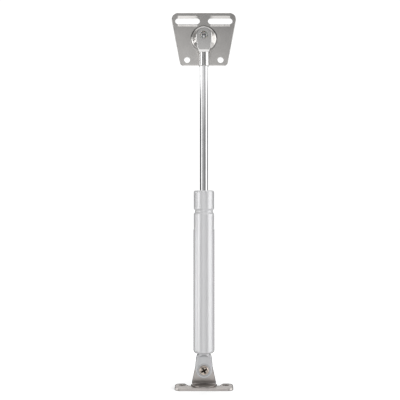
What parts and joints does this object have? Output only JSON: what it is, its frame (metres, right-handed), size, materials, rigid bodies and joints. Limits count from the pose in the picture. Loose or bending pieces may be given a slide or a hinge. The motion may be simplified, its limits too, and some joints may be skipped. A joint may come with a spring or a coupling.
{
  "type": "gas strut stay",
  "caption": "Gas-spring stay for a cabinet flap or small window, with a ball-and-socket fixing plate at one end and a pivoting eye on a screw-down foot at the other.",
  "frame": {"origin": "on the fixing plate's flat back face, on the ball stud's axis", "axes": "+Z from the foot towards the plate, along the strut; +Y out of the plate's back, into what it is screwed to; +X to the right seen from the front"},
  "size_m": [0.0482, 0.0205, 0.2787],
  "materials": {
    "plate_nickel": "satin nickel plate",
    "stud_steel": "bright zinc plate, turned",
    "socket_nickel": "polished nickel plate on a die casting",
    "acetal": "natural moulded acetal",
    "spring_wire": "drawn spring wire",
    "rod_chrome": "hard chrome, ground",
    "plain_steel": "plain pressed steel",
    "piston_alloy": "turned alloy",
    "tube_paint": "semi-gloss light grey paint",
    "guide_plastic": "moulded plastic",
    "nitrile": "moulded rubber",
    "eye_zinc": "silver-grey finish on a die casting",
    "foot_nickel": "satin nickel plate",
    "screw_nickel": "warm nickel plate"
  },
  "bodies": {
    "plate": {"mounting_plate": "plate_nickel"},
    "stud": {"ball_stud": "stud_steel"},
    "rod": {"rod_end_socket": "socket_nickel", "socket_liner": "acetal", "socket_clip": "spring_wire", "piston_rod": "rod_chrome", "piston_stop_washer": "plain_steel", "piston": "piston_alloy", "piston_retainer": "plain_steel"},
    "ring": {"piston_ring": "acetal"},
    "tube": {"pressure_tube": "tube_paint", "rod_guide": "guide_plastic", "rod_seal": "nitrile", "seal_backing_washer": "plain_steel", "end_plug": "piston_alloy", "plug_o_ring": "nitrile", "eye_end": "eye_zinc"},
    "foot": {"foot_bracket": "foot_nickel", "pivot_screw": "screw_nickel", "pivot_washer": "acetal"}
  },
  "joints": [
    {"name": "strut_swing", "type": "hinge", "parent": "plate", "child": "stud", "pos_m": [0, -0.0125, 0], "axis": [0, 1, 0], "continuous": true},
    {"name": "strut_tilt", "type": "hinge", "parent": "stud", "child": "rod", "pos_m": [0, -0.0125, 0], "axis": [1, 0, 0], "range_deg": [-12, 12]},
    {"name": "rod_spin", "type": "hinge", "parent": "rod", "child": "ring", "pos_m": [0, -0.0125, -0.1334], "axis": [0, 0, 1], "continuous": true},
    {"name": "rod_slide", "type": "slide", "parent": "ring", "child": "tube", "axis": [0, 0, 1], "range_m": [0, 0.09], "stiffness_N_per_m": 333.3, "springref_m": -0.3},
    {"name": "foot_pivot", "type": "hinge", "parent": "tube", "child": "foot", "pos_m": [0, -0.0125, -0.245], "axis": [0, 1, 0], "range_deg": [-90, 90]}
  ]
}
